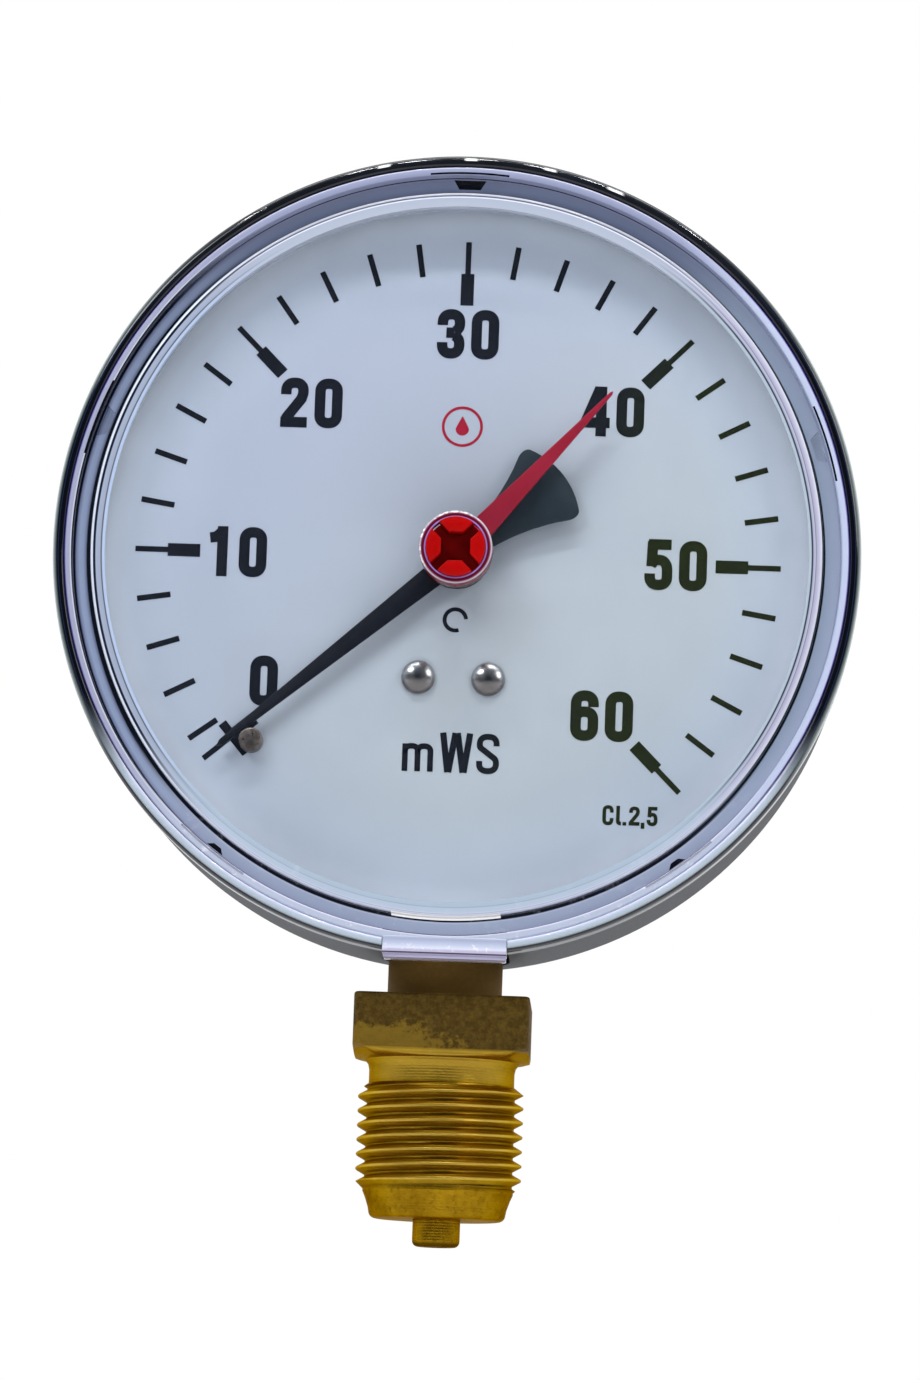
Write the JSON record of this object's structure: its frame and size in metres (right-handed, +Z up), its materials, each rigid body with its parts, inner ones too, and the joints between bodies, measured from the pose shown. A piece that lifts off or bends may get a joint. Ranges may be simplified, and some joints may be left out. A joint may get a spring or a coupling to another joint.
{
  "type": "pressure gauge",
  "caption": "Dial pressure gauge with a bottom threaded connection, clear snap-in window, black pointer and adjustable red set hand over a Bourdon-tube movement.",
  "frame": {"origin": "centre of the seal face at the bottom of the threaded socket, on the thread axis", "axes": "+Z up along the thread axis towards the dial, -Y the side that the dial faces, +X to the right as seen from the front"},
  "size_m": [0.1008, 0.0347, 0.1362],
  "materials": {
    "case_black": "gloss black paint on pressed steel",
    "window_clear": "polished clear moulded plastic",
    "dial_white": "satin white enamel with printed black scale",
    "socket_brass": "machined brass with brown tarnish",
    "movement_brass": "bright machined brass",
    "tube_bronze": "drawn bronze",
    "bright_steel": "bright turned steel",
    "pointer_black": "satin black paint on aluminium",
    "set_red": "glossy red moulded plastic"
  },
  "bodies": {
    "case": {"case_shell": "case_black", "window": "window_clear", "dial": "dial_white", "dial_screw_left": "bright_steel", "dial_screw_right": "bright_steel", "stop_pin": "bright_steel", "socket": "socket_brass", "bourdon_tube": "tube_bronze", "movement_front_plate": "movement_brass", "movement_back_plate": "movement_brass", "movement_pillar_upper": "movement_brass", "movement_pillar_lower": "movement_brass", "pillar_screw_upper": "bright_steel", "pillar_screw_lower": "bright_steel", "movement_screw_left": "bright_steel", "movement_screw_right": "bright_steel", "hairspring": "tube_bronze", "hairspring_stud": "movement_brass", "case_screw_left": "bright_steel", "case_screw_right": "bright_steel"},
    "sector": {"sector_gear": "movement_brass", "sector_arbor": "bright_steel", "sector_pin": "bright_steel"},
    "pointer": {"pointer": "pointer_black", "pointer_bush": "movement_brass", "pinion_staff": "bright_steel", "hairspring_collet": "movement_brass"},
    "tube_end": {"tube_tip": "movement_brass", "link_screw": "bright_steel"},
    "link": {"link": "movement_brass"},
    "set_hand": {"set_hand": "set_red", "set_knob": "set_red", "friction_washer": "bright_steel"}
  },
  "joints": [
    {"name": "sector_swing", "type": "hinge", "parent": "case", "child": "sector", "pos_m": [0, -0.00585, 0.06252], "axis": [0, -1, 0], "range_deg": [0, 27], "stiffness_Nm_per_rad": 0.01, "springref_deg": -5.73},
    {"name": "pointer_turn", "type": "hinge", "parent": "case", "child": "pointer", "pos_m": [0, -0.00585, 0.0824], "axis": [0, 1, 0], "range_deg": [0, 271], "deforming": ["hairspring"]},
    {"name": "tube_flex", "type": "hinge", "parent": "case", "child": "tube_end", "pos_m": [-0.00499, 0.0015, 0.09123], "axis": [0, -1, 0], "range_deg": [0, 6.5], "deforming": ["bourdon_tube"]},
    {"name": "link_swing", "type": "hinge", "parent": "tube_end", "child": "link", "pos_m": [0.024, -0.0045, 0.066], "axis": [0, -1, 0], "range_deg": [-6.5, 0]},
    {"name": "set_hand_turn", "type": "hinge", "parent": "case", "child": "set_hand", "pos_m": [0, -0.018, 0.0824], "axis": [0, 1, 0], "continuous": true}
  ],
  "couplings": [
    {"joint": "pointer_turn", "follows": "sector_swing", "ratio": 10},
    {"joint": "tube_flex", "follows": "sector_swing", "ratio": 0.2331},
    {"joint": "link_swing", "follows": "sector_swing", "ratio": -0.2283}
  ]
}
